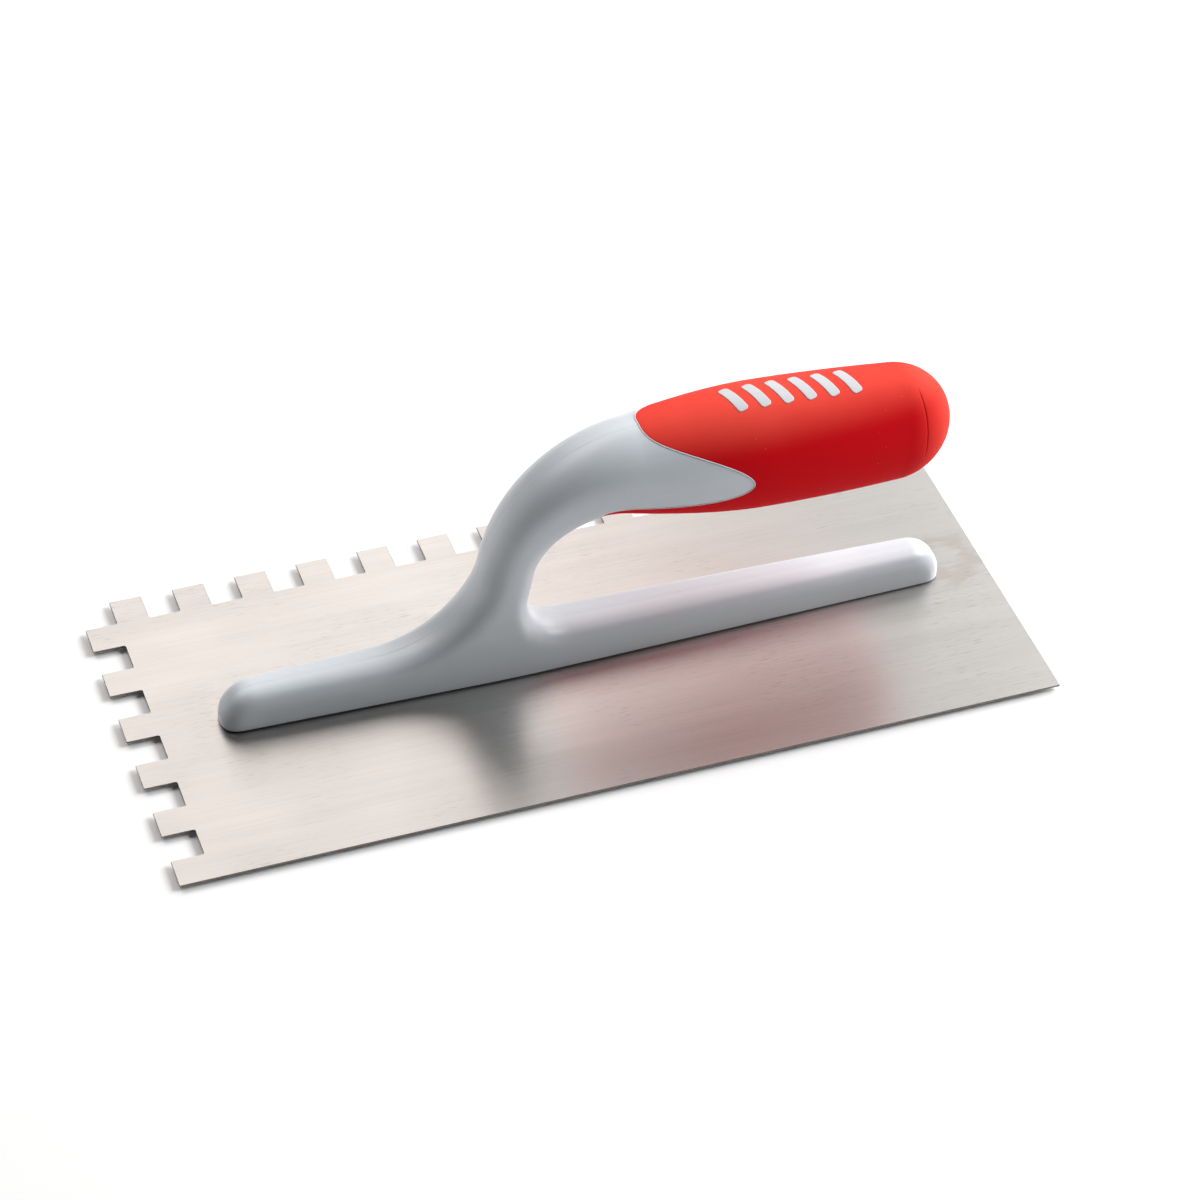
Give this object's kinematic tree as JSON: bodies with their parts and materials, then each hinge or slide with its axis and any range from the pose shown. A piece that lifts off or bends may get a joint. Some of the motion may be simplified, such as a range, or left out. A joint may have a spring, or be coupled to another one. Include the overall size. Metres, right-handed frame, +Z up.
{
  "type": "notched trowel",
  "caption": "Notched trowel: a thin steel blade with square notches on one long and one short edge, under a grey and red open handle on a long shoe.",
  "frame": {"origin": "middle of the blade's underside, on the surface that the trowel rests on", "axes": "+X along the blade towards the open end of the grip, +Y across it towards the long notched edge, +Z up through the grip"},
  "size_m": [0.28, 0.12, 0.0906],
  "materials": {
    "blade_steel": "fine satin grain along the blade",
    "stud_steel": "plain",
    "grey_plastic": "satin",
    "red_grip": "matte, fine pores",
    "plug_plastic": "satin"
  },
  "bodies": {
    "root": {"blade": "blade_steel", "weld_studs": "stud_steel", "handle_body": "grey_plastic", "grip_skin": "red_grip", "end_plug": "plug_plastic"}
  },
  "joints": []
}
